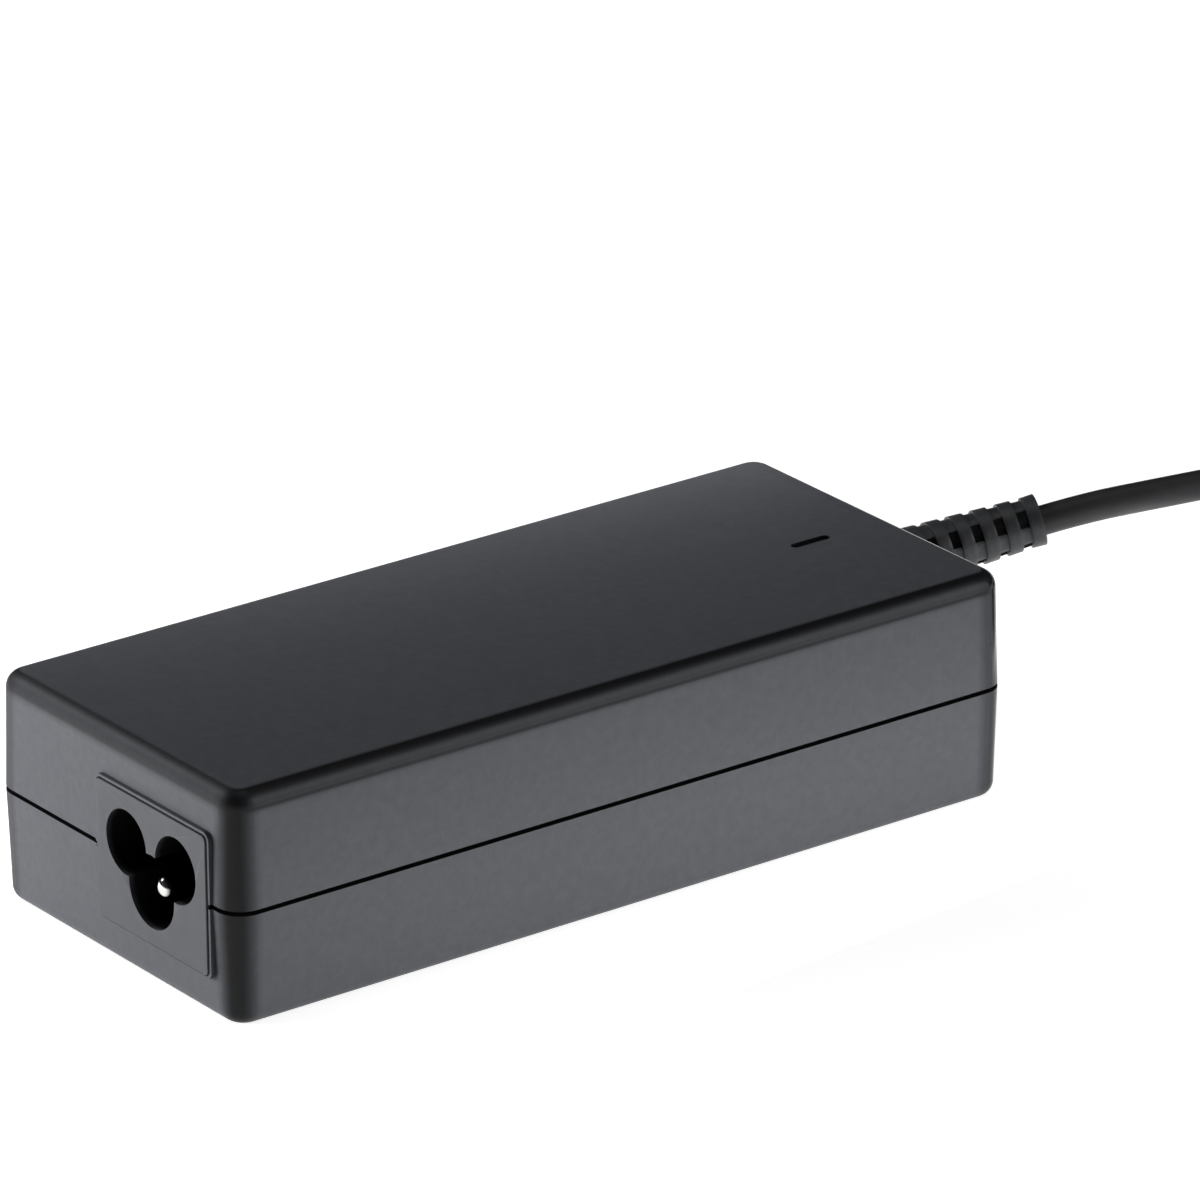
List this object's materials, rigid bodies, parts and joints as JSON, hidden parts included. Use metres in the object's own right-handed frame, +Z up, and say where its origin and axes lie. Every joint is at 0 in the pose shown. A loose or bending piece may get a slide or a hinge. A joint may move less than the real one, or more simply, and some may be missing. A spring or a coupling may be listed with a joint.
{
  "type": "laptop power adapter",
  "caption": "Black laptop power adapter with a mains inlet, an indicator light, a ribbed strain relief, a low-voltage cord tied in a coil and an angled barrel plug.",
  "frame": {"origin": "on the surface that the case stands on, under the middle of the case with its inlet", "axes": "+Z up, +Y from the mains inlet towards the cord, +X across towards the inlet's side"},
  "size_m": [0.0627, 0.2671, 0.0291],
  "materials": {
    "case_plastic": "fine matte texture",
    "inlet_plastic": "smooth satin",
    "light_window": "dark, polished",
    "light_lens": "clear tinted",
    "nickel": "bright plated",
    "soft_black": "satin",
    "cord_jacket": "satin",
    "wire_brown": "satin",
    "wire_blue": "satin",
    "wire_green": "satin",
    "wire_red": "satin",
    "wire_black": "satin",
    "laminate": "satin",
    "dark_resin": "matte",
    "fuse_case": "matte",
    "disc_coating": "glossy",
    "film_case": "satin",
    "ferrite": "matte",
    "copper_wire": "lacquered",
    "capacitor_sleeve": "glossy sleeve",
    "sink_metal": "mill",
    "steel": "plated",
    "former_plastic": "matte",
    "tape": "satin",
    "insulating_paper": "smooth",
    "pad_silicone": "soft"
  },
  "bodies": {
    "root": {"bottom_shell": "case_plastic", "top_shell": "case_plastic", "led_light_pipe": "light_window", "indicator_led": "light_lens", "inlet_body": "inlet_plastic", "inlet_line_pin": "nickel", "inlet_neutral_pin": "nickel", "inlet_earth_pin": "nickel", "inlet_line_wire": "wire_brown", "inlet_neutral_wire": "wire_blue", "inlet_earth_wire": "wire_green", "main_board": "laminate", "fuse": "fuse_case", "varistor": "disc_coating", "filter_capacitor": "film_case", "bridge_rectifier": "dark_resin", "choke_base": "former_plastic", "choke_core": "ferrite", "choke_winding_left": "copper_wire", "choke_winding_right": "copper_wire", "bulk_capacitor": "capacitor_sleeve", "switch_heat_sink": "sink_metal", "power_switch": "dark_resin", "switch_screw": "steel", "transformer_core_lower": "ferrite", "transformer_core_upper": "ferrite", "transformer_former": "former_plastic", "transformer_winding": "copper_wire", "transformer_tape": "tape", "suppression_capacitor": "disc_coating", "optical_coupler": "dark_resin", "supply_capacitor": "capacitor_sleeve", "controller_chip": "dark_resin", "output_heat_sink": "sink_metal", "output_rectifier": "dark_resin", "rectifier_screw": "steel", "inductor_core": "ferrite", "inductor_winding": "copper_wire", "output_capacitor_rear": "capacitor_sleeve", "output_capacitor_front": "capacitor_sleeve", "output_positive_wire": "wire_red", "output_negative_wire": "wire_black", "insulating_sheet": "insulating_paper", "lower_heat_spreader": "sink_metal", "upper_heat_spreader": "sink_metal", "thermal_pad": "pad_silicone", "cable_boot": "soft_black", "dc_cord_lead": "cord_jacket", "dc_cord_coil": "cord_jacket", "dc_cord_tail": "cord_jacket", "cord_tie": "soft_black", "plug_grip": "soft_black", "plug_sleeve": "nickel", "plug_insulator": "dark_resin", "plug_contact": "nickel"}
  },
  "joints": []
}
